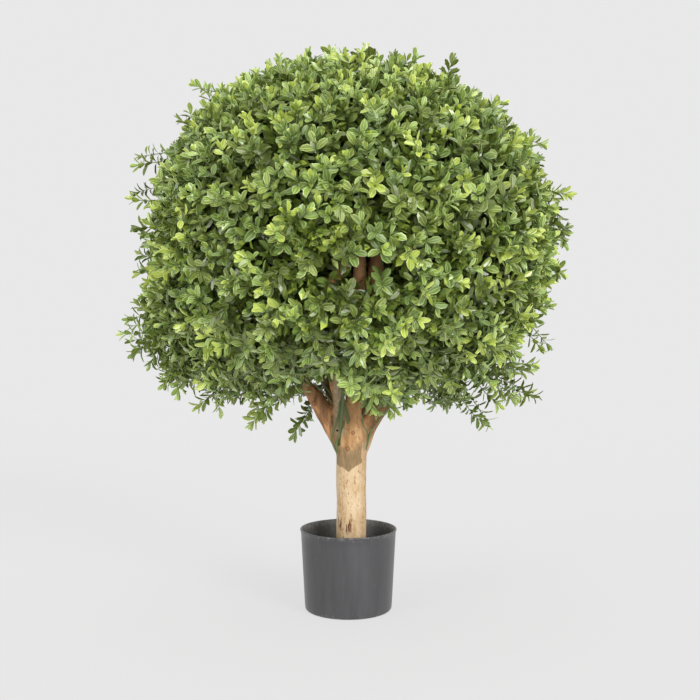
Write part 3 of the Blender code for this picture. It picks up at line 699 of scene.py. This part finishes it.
def even_ways(count, rng, jitter):
    """Unit vectors spread evenly all round, then moved a little."""
    k = np.arange(count)
    z = 1 - (2 * k + 1) / count
    flat = np.sqrt(1 - z * z)
    turn = GOLDEN_ANGLE * k
    ways = np.stack([flat * np.cos(turn), flat * np.sin(turn), z], axis=-1)
    return unit(ways + rng.uniform(-1, 1, (count, 3)) * jitter)


def bezier(a, b, c, count):
    t = np.linspace(0, 1, count)[:, None]
    return a * (1 - t) ** 2 + b * 2 * t * (1 - t) + c * t**2


# ---- Leaves ----
class LeafShape:
    """A leaf's points as shares of its length and width, and its faces.

    The rims at both edges and a strip on the midrib have their own paler colour: pale margins, and on the
    midrib partly a light midrib and partly a painted highlight. The faces at the foot are a tone darker, as
    painted shade.
    """

    def __init__(self, stations, widths, across, rim):
        columns, rows = len(across), len(stations)
        inner = [(t, a * width / 2) for t, width in zip(stations, widths) for a in across]
        self.points = np.array([(0.0, 0.0), *inner, (1.0, 0.0)])
        spans = range(columns - 1)
        firsts = [1 + r * columns + c for r in range(rows - 1) for c in spans]
        self.quads = np.array([(a, a + 1, a + 1 + columns, a + columns) for a in firsts], int).reshape(-1, 4)
        last, top = len(self.points) - 1, 1 + (rows - 1) * columns
        feet = [(0, 2 + c, 1 + c) for c in spans]
        tips = [(last, top + c, top + c + 1) for c in spans]
        self.triangles = np.array(feet + tips)
        # The outer columns are the pale rims, and the middle one is the midrib strip, partly a painted
        # highlight.
        edge = [rim and c in (0, spans[-1] // 2, spans[-1]) for c in spans]
        self.quad_rims_and_midrib_highlight = np.array(edge * (rows - 1), bool)
        self.triangle_rims_and_midrib_highlight = np.array(edge * 2)
        # The triangles at the foot are a tone darker: painted shade.
        self.triangle_feet_shade = np.repeat((1, 0), len(spans))


FULL_LEAF = LeafShape((0.22, 0.56, 0.86), (0.57, 1.00, 0.70), (-1.0, -0.78, -0.08, 0.08, 0.78, 1.0), True)
PLAIN_LEAF = LeafShape((0.36, 0.78), (0.84, 0.88), (-1.0, 0.0, 1.0), False)
DEEP_LEAF = LeafShape((0.52,), (1.0,), (-1.0, 0.0, 1.0), False)


def add_leaves(heap, shape, base, way, face, length, width, curl, fold, tone):
    """Adds one leaf for each row: way runs along the leaf, and face is the side that looks up."""
    side = np.cross(face, way)
    t, a = shape.points.T[:, None, :, None]
    base, way, side, face = (rows[:, None] for rows in (base, way, side, face))
    length, width, curl, fold = (values[:, None, None] for values in (length, width, curl, fold))
    lift = -curl * length * t * t + fold * width * np.abs(a)
    points = base + way * (length * t) + side * (width * a) + face * lift
    count = len(base)
    steps = (np.arange(count) * len(shape.points))[:, None, None]
    quads = (shape.quads[None] + steps).reshape(-1, 4)
    triangles = (shape.triangles[None] + steps).reshape(-1, 3)
    quad_kinds = (tone[:, None] + shape.quad_rims_and_midrib_highlight[None] * TONE_COUNT).ravel()
    # Faces at a leaf's foot take the next darker tone: painted shade.
    foot_shade_tone = np.minimum(tone[:, None] + shape.triangle_feet_shade[None], TONE_COUNT - 1)
    triangle_kinds = (foot_shade_tone + shape.triangle_rims_and_midrib_highlight[None] * TONE_COUNT).ravel()
    creased = np.tile(np.abs(shape.points[:, 1]) < MIDRIB_EDGE, count)
    heap.add(points.reshape(-1, 3), quads, triangles, quad_kinds, triangle_kinds, creased)


def sprig_leaves(
    heap, line, rng, pairs, tone, scale, spacing=PAIR_SPACING, stretch=PAIR_STRETCH, outer=True, narrow=1.0
):
    """Leaves in crossed pairs down a sprig from its tip, small at the tip and full size below."""
    steps = np.linalg.norm(np.diff(line, axis=0), axis=1)
    from_tip = np.concatenate([[0], np.cumsum(steps[::-1])])
    back = line[::-1]
    k = np.arange(pairs)
    places = FIRST_PAIR + spacing * scale * k * (PAIR_CLOSENESS + stretch * k)
    at, lower = (
        np.stack([np.interp(where, from_tip, column) for column in back.T], axis=-1)
        for where in (places, places + ALONG_STEP)
    )
    along = unit(at - lower)
    side = unit(np.cross(along, rng.normal(size=3)))
    other = np.cross(along, side)
    spin = k * pi / 2 + rng.normal(0, SPIN_JITTER, pairs)
    out = side * np.cos(spin)[:, None] + other * np.sin(spin)[:, None]
    opening = np.radians(np.interp(k, PAIR_NUMBERS, PAIR_OPENINGS))
    size = np.interp(k, PAIR_NUMBERS, PAIR_SIZES) * scale
    lighter = YOUNG_TONES if outer and rng.random() < YOUNG_SHARE else 0
    tones = np.maximum(tone - lighter * (k < YOUNG_PAIRS) - (k < 1), 0)
    detailed = min(pairs, DETAILED_PAIRS) if outer else 0
    for sign in (1, -1):
        angle = (opening + rng.normal(0, OPENING_JITTER, pairs))[:, None]
        way = along * np.cos(angle) + out * (sign * np.sin(angle))
        face = along * np.sin(angle) - out * (sign * np.cos(angle))
        roll = rng.normal(0, ROLL_JITTER, pairs)[:, None]
        face = face * np.cos(roll) + np.cross(way, face) * np.sin(roll)
        length = LEAF_LENGTH * size * rng.uniform(*LENGTHS, pairs)
        width = length * LEAF_WIDE * narrow * rng.uniform(*WIDTHS, pairs)
        curl = rng.uniform(*CURLS, pairs) + max(NARROW - narrow, 0.0)
        fold = rng.uniform(*FOLDS, pairs)
        for shape, part in ((FULL_LEAF, slice(0, detailed)), (PLAIN_LEAF, slice(detailed, pairs))):
            if part.stop > part.start:
                values = (at, way, face, length, width, curl, fold, tones)
                add_leaves(heap, shape, *(value[part] for value in values))


def scatter_leaves(heap, ways, rng, depths, sizes, tones):
    """Plain leaves that point outwards on the whole, one for each way."""
    count = len(ways)
    base = CROWN_CENTRE + ways * (reach(ways) * rng.uniform(*depths, count))[:, None]
    way = unit(ways + rng.normal(0, DEEP_JITTER, (count, 3)))
    face = unit(np.cross(way, rng.normal(size=(count, 3))))
    length = LEAF_LENGTH * rng.uniform(*sizes, count)
    fold = rng.uniform(*DEEP_FOLDS, count)
    tone = rng.integers(*tones, count)
    add_leaves(heap, DEEP_LEAF, base, way, face, length, length * LEAF_WIDE, fold * DEEP_CURL, fold, tone)


# ---- Growth of the masses ----
class Crown:
    """The ball while it grows: each mass has its middle way, its branches, its leaves and its twigs."""

    def __init__(self, rng):
        self.rng = rng
        self.middles = np.array([direction(a, e) for a, e, _ in MASSES.values()])
        self.leaves = [Heap() for _ in MASSES]
        self.twigs = [Heap() for _ in MASSES]
        ways = even_ways(BRANCH_COUNT, rng, BRANCH_JITTER)
        self.branch_tips = CROWN_CENTRE + ways * (reach(ways) * BRANCH_SHARE)[:, None]
        self.branch_owners = self.owners(ways)

    def owners(self, ways):
        """The number of the mass whose middle is nearest to each way."""
        return np.argmax(ways @ self.middles.T, axis=1)

    def nearest_branch(self, owner, point):
        """The tip of the mass's branch that ends nearest to the point."""
        tips = self.branch_tips[self.branch_owners == owner]
        return tips[np.argmin(np.linalg.norm(tips - point, axis=1))]

    def add_branches(self):
        for k, (name, (_, _, limb)) in enumerate(MASSES.items()):
            middle, twigs = self.middles[k], self.twigs[k]
            heart = CROWN_CENTRE + middle * reach(middle[None])[0] * HEART_SHARE
            start = np.array(STEM_FEET.get(name, LIMBS[limb][-1][:3])) / 1000
            stem = bezier(start, (start + heart) / 2 + STEM_SAG, heart, STEM_POINTS)
            twigs.add_twig(stem, STEM_TWIG, BRANCH_STEM)
            for tip in self.branch_tips[self.branch_owners == k]:
                branch = bezier(heart, (heart + tip) / 2 + BRANCH_SAG, tip, BRANCH_POINTS)
                twigs.add_twig(branch, BRANCH_TWIG, BRANCH_STEM)

    def add_sprigs(self, count, jitter, depths, pairs, lengths, points, tone_shares, outer):
        rng = self.rng
        ways = even_ways(count, rng, jitter)
        far = reach(ways) - rng.uniform(*depths, count)
        far -= FOOT_DEPTH * np.clip((FOOT_EDGE - ways[:, 2]) / FOOT_BLEND, 0, 1)
        for way, owner, radius, offset in zip(ways, self.owners(ways), far, gap_offset(ways)):
            tip = CROWN_CENTRE + way * radius
            if offset < 1 or in_fork_window(tip):
                continue
            up = SPRIG_UP if way[2] > SPRIG_DOWN_EDGE else SPRIG_DOWN
            toward = unit(way + (0, 0, up) + rng.normal(0, SPRIG_JITTER, 3))
            line = bezier(self.nearest_branch(owner, tip), tip - toward * rng.uniform(*lengths), tip, points)
            self.twigs[owner].add_twig(line, SPRIG_TWIG, SPRIG_STEM)
            # Sprigs low on the ball take one tone darker: painted shade under the ball.
            tone = min(rng.choice(TONE_COUNT, p=tone_shares) + int(tip[2] < LOW_EDGE), TONE_COUNT - 1)
            pair_count = rng.integers(*pairs)
            scale = rng.uniform(*SPRIG_SCALES)
            narrow = np.interp(tip[2], SLENDER_HEIGHTS, (SLENDER, 1.0))
            leaves = self.leaves[owner]
            sprig_leaves(leaves, line, rng, pair_count, tone, scale, outer=outer, narrow=narrow)

    def add_spray(self, tip, way, length, narrow=NARROW):
        """A loose spray. Its hidden part runs from the nearest branch to where its leaves start."""
        rng = self.rng
        tip = tip - way * TIP_LEAF
        root = tip - way * length
        owner = np.argmax(self.middles @ unit(tip - CROWN_CENTRE))
        start = self.nearest_branch(owner, root)
        stray = rng.normal(0, SPRAY_STRAY, 3)
        hidden = bezier(start, (start + root) / 2 + stray, root, SPRAY_HIDDEN_POINTS)
        bend = np.cross(way, rng.normal(size=3)) * length * SPRAY_BEND
        shown = bezier(root, (root + tip) / 2 + bend, tip, SPRAY_POINTS)
        line = np.concatenate([hidden[:-1], shown])
        self.twigs[owner].add_twig(line, SPRAY_TWIG, SPRIG_STEM)
        pairs = int(length / SPRAY_SPACING) + SPRAY_MORE_PAIRS
        # Slender sprays take the darker tones, as painted shade.
        tone = rng.integers(*(SLENDER_SHADE_TONES if narrow == SLENDER else SPRAY_TONES))
        leaves = self.leaves[owner]
        sprig_leaves(leaves, line, rng, pairs, tone, SPRAY_SCALE, SPRAY_SPACING, SPRAY_STRETCH, narrow=narrow)

    def add_listed_sprays(self):
        rng = self.rng
        for rows, usual_depths, lean in SPRAY_PLACES:
            for x_mm, z_mm, turn, length_mm in rows:
                x, z, length = x_mm / 1000, z_mm / 1000, length_mm / 1000
                depths = LOW_SPRAY_DEPTHS if rows is SPRAYS and z < LOW_EDGE else usual_depths
                a = radians(turn)
                leaning = lean + rng.uniform(-LEAN_JITTER, LEAN_JITTER)
                way = unit(np.array((cos(a), leaning, sin(a))))
                self.add_spray(from_view(x, rng.uniform(*depths), z), way, length)
                if x < LEFT_EDGE or (x > RIGHT_EDGE and z < LOW_EDGE):
                    beside = (x + rng.uniform(*BESIDE), rng.uniform(*depths), z + rng.uniform(*BESIDE_UP))
                    self.add_spray(from_view(*beside), way, length, SLENDER)

    def add_spray_beyond(self, out, level, dealt, narrow):
        """A spray whose tip is past the outline along out, and which points along level."""
        rng = self.rng
        tip = beyond(out, rng.uniform(*dealt["past"]))
        if narrow == SLENDER and in_fork_window(tip):
            return
        way = unit(level + dealt["lift"] + rng.normal(0, dealt["stray"], 3))
        self.add_spray(tip, way, rng.uniform(*dealt["lengths"]), narrow)

    def add_dealt_sprays(self):
        for k in range(SKIRT_COUNT):
            around = k * GOLDEN_ANGLE
            tilt = radians(self.rng.uniform(*SKIRT_TILT))
            level = np.array((cos(around), sin(around), 0.0))
            out = level * cos(tilt) + (0, 0, sin(tilt))
            self.add_spray_beyond(out, level, SKIRT, SLENDER)
        for out in even_ways(SIDE_COUNT, self.rng, SIDE_JITTER):
            if out[2] > SIDE_FOOT:
                self.add_spray_beyond(out, out, SIDE, NARROW)

    def add_deep_leaves(self):
        """Plain leaves inside each mass's wedge of the ball. More of them, life size, ring the openings."""
        for k, heap in enumerate(self.leaves):
            share = np.count_nonzero(self.branch_owners == k) / BRANCH_COUNT
            count = int(DEEP_LEAF_COUNT * share)
            ways = unit(self.rng.normal(size=(count * DEEP_TRIES, 3)))
            offsets = gap_offset(ways)
            own = (self.owners(ways) == k) & (offsets > GAP_EDGE)
            scatter_leaves(heap, ways[own][:count], self.rng, *DEEP_LEAVES)
            scatter_leaves(heap, ways[own & (offsets < GAP_RING)], self.rng, *RING_LEAVES)


def make_masses():
    crown = Crown(np.random.default_rng(SEED))
    crown.add_branches()
    crown.add_sprigs(**OUTER_SPRIGS)
    crown.add_sprigs(**INNER_SPRIGS)
    crown.add_listed_sprays()
    crown.add_dealt_sprays()
    crown.add_deep_leaves()
    tones = list(enumerate(LEAF_TONES))
    leaf_kinds = [plain(f"leaf_{k}", blade, BLADE_ROUGHNESS, BLADE_SPECULAR) for k, (blade, _) in tones]
    # Rim colours: the pale margins, and the midrib strip, which is partly a painted highlight.
    leaf_kinds += [plain(f"leaf_rim_and_midrib_highlight_{k}", rim, RIM_ROUGHNESS) for k, (_, rim) in tones]
    twig_kinds = [plain(name, colour, TWIG_ROUGHNESS) for name, colour in TWIG_COLOURS]
    for name, leaves, twigs in zip(MASSES, crown.leaves, crown.twigs):
        for kind, heap, materials in (("leaves", leaves, leaf_kinds), ("twigs", twigs, twig_kinds)):
            piece = heap.to_object(f"{name}_{kind}", materials)
            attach(piece, "root")
            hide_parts(name)


# ---- Limbs ----
def make_limbs():
    heap = Heap()
    for rows in [*LIMBS.values(), SIDE_LIMB]:
        line = smooth_line(np.array(rows) / 1000, LIMB_RINGS)
        heap.add_tube(line[:, :3], line[:, 3], LIMB_SIDES)
    limbs = heap.to_object("trunk_and_boughs", [wood_material()])
    join = limbs.modifiers.new("join", "REMESH")
    join.mode = "VOXEL"
    join.voxel_size = LIMB_VOXEL
    blend = limbs.modifiers.new("blend", "SMOOTH")
    blend.factor = BLEND_FACTOR
    blend.iterations = BLEND_ROUNDS
    bpy.context.view_layer.update()
    graph = bpy.context.evaluated_depsgraph_get()
    mesh = bpy.data.meshes.new_from_object(limbs.evaluated_get(graph))
    limbs.modifiers.clear()
    limbs.data = mesh
    roughen(mesh)
    mesh.shade_smooth()
    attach(limbs, "root")
    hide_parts(*LIMBS)


def relief_at(x, y, z):
    bark = min(max((z - BARK_FOOT) / BARK_BLEND, 0.0), 1.0)
    return sum(
        noise.noise(Vector((x * across, y * across, z * along))) * (peeled + more * bark)
        for across, along, peeled, more in RELIEF
    )


def roughen(mesh):
    """Long low ridges, small lumps and pits, and knots, pushed out along the normals."""
    points, normals = np.empty((2, len(mesh.vertices), 3))
    mesh.vertices.foreach_get("co", points.ravel())
    mesh.vertices.foreach_get("normal", normals.ravel())
    push = np.array([relief_at(*point) for point in points])
    for where, wide, high in KNOTS:
        near = np.linalg.norm(points - where, axis=1) / wide
        dimple = KNOT_DIMPLE * np.exp(-((near * KNOT_DIMPLE_WIDTH) ** 2))
        push += high * np.exp(-(near**2)) * (1 - dimple)
    points += normals * push[:, None]
    mesh.vertices.foreach_set("co", points.ravel())
    mesh.update()


def make_green_stems():
    heap = Heap()
    shares = np.interp(np.linspace(0, 1, GREEN_RINGS), *GREEN_TAPER)
    for radius, points in GREEN_STEMS:
        line = smooth_line(np.array(points) / 1000, GREEN_RINGS)
        heap.add_tube(line, radius / 1000 * GREEN_SLIM * shares, GREEN_SIDES)
    green = plain("green_plastic_stem", GREEN_COLOUR, GREEN_ROUGHNESS)
    stems = heap.to_object("green_stems", [green])
    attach(stems, "root")


# ---- Pot and fill ----
def wall_radius(z):
    return POT_BASE_RADIUS + (POT_RIM_RADIUS - POT_LIP - POT_BASE_RADIUS) * z / POT_HEIGHT


def inner_radius(z):
    return wall_radius(z) - POT_WALL


def lathe(name, profile, sides, materials, inner_from):
    """A surface of revolution about the Z axis from (radius, height) rows. A row on the axis closes it.

    Rows from inner_from on take the second material.
    """
    turn = np.arange(sides) * 2 * pi / sides
    rings = np.array([[(r * cos(a), r * sin(a), z) for a in turn] for r, z in profile])
    kinds = (np.arange(len(profile) - 1) >= inner_from).astype(int)
    heap = Heap()
    no_triangles = np.zeros((0, 3), int)
    quads = rings_of_quads(len(profile), sides)
    heap.add(rings.reshape(-1, 3), quads, no_triangles, np.repeat(kinds, sides), 0)
    return heap.to_object(name, materials)


def make_pot():
    top = POT_HEIGHT
    lip_foot = top - POT_LIP_HEIGHT
    corner = [radians(a) for a in POT_CORNER_ANGLES]
    profile = [(0.0, 0.0)]
    profile += [(POT_BASE_RADIUS - POT_CORNER * (1 - sin(a)), POT_CORNER * (1 - cos(a))) for a in corner]
    profile += [(wall_radius(z), z) for z in np.linspace(POT_CORNER + WALL_FOOT, lip_foot, WALL_ROWS)]
    profile += [(POT_RIM_RADIUS - inwards, top - down) for inwards, down in LIP_OUTSIDE]
    inner_from = len(profile)
    profile += [(inner_radius(top) + out, top - down) for out, down in LIP_INSIDE]
    profile += [(inner_radius(z), z) for z in np.linspace(top - INNER_TOP, POT_CORNER, INNER_ROWS)]
    profile += [(inner_radius(0) - POT_CORNER * POT_INNER_CORNER, POT_WALL), (0.0, POT_WALL)]
    materials = [pot_material("pot_plastic", *POT_OUTSIDE), pot_material("pot_inside", *POT_INSIDE)]
    pot = lathe("nursery_pot", profile, POT_SIDES, materials, inner_from)
    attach(pot, "root")
    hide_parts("pot")


def make_fill():
    edge = inner_radius(FILL_TOP) - FILL_GAP
    foot = POT_WALL + FILL_GAP
    corner_in, corner_height = FILL_CORNER
    profile = [(0.0, foot), (FILL_FOOT, foot)]
    profile += [(inner_radius(POT_CORNER) - corner_in, corner_height), (edge, FILL_TOP - FILL_DOME)]
    profile += [(edge * s, FILL_TOP - FILL_DOME * s**4) for s in FILL_RINGS]
    profile += [(0.0, FILL_TOP)]
    fill = lathe("cement_fill", profile, FILL_SIDES, [fill_material()], len(profile))
    for vertex in fill.data.vertices:
        x, y, z = vertex.co
        if z > FILL_BUMPED_ABOVE:
            spot = Vector((x * FILL_BUMPS, y * FILL_BUMPS, 0))
            broad = FILL_BROAD_HEIGHT * noise.noise(spot)
            fine = FILL_FINE_HEIGHT * noise.noise(spot * FILL_FINER)
            vertex.co.z += broad + fine - FILL_SINK
    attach(fill, "root")
    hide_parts("pot_fill")


# ---- Studio ----
def make_floor():
    bpy.ops.mesh.primitive_circle_add(
        vertices=FLOOR_SIDES, radius=FLOOR_RADIUS, fill_type="NGON", location=(0, 0, FLOOR_Z)
    )
    floor = bpy.context.object
    floor.name = "studio_floor"
    looks = Looks("studio_floor")
    inputs = looks.shader.inputs
    inputs["Base Color"].default_value = (FLOOR_DIFFUSE, FLOOR_DIFFUSE, FLOOR_DIFFUSE, 1)
    inputs["Emission Color"].default_value = (1, 1, 1, 1)
    for name, value in (("Emission Strength", FLOOR_GLOW), ("Roughness", 1), ("Specular IOR Level", 0)):
        inputs[name].default_value = value
    floor.data.materials.append(looks.material)


def make_lights():
    world = bpy.data.worlds.new("studio")
    world.use_nodes = True
    world.node_tree.nodes["Background"].inputs["Color"].default_value = (WHITE, WHITE, WHITE, 1)
    bpy.context.scene.world = world
    for name, (place, strength, softness) in SUNS.items():
        lamp = bpy.data.lights.new(name, "SUN")
        lamp.energy = strength
        lamp.angle = radians(softness)
        light = link(name, lamp)
        light.location = place
        light.rotation_euler = (SUN_AIM - Vector(place)).to_track_quat("-Z", "Y").to_euler()


def make_camera():
    lens = bpy.data.cameras.new("camera")
    lens.lens = CAMERA_LENS
    lens.sensor_width = CAMERA_SENSOR
    camera = link("camera", lens)
    camera.location = (CAMERA_X, -CAMERA_DISTANCE, CAMERA_HEIGHT)
    camera.rotation_euler = (radians(90 - CAMERA_TILT), 0, 0)
    bpy.context.scene.camera = camera
    bpy.context.scene.view_settings.view_transform = "Standard"


def main():
    make_floor()
    make_lights()
    make_camera()
    make_pot()
    make_fill()
    make_limbs()
    make_green_stems()
    make_masses()


main()
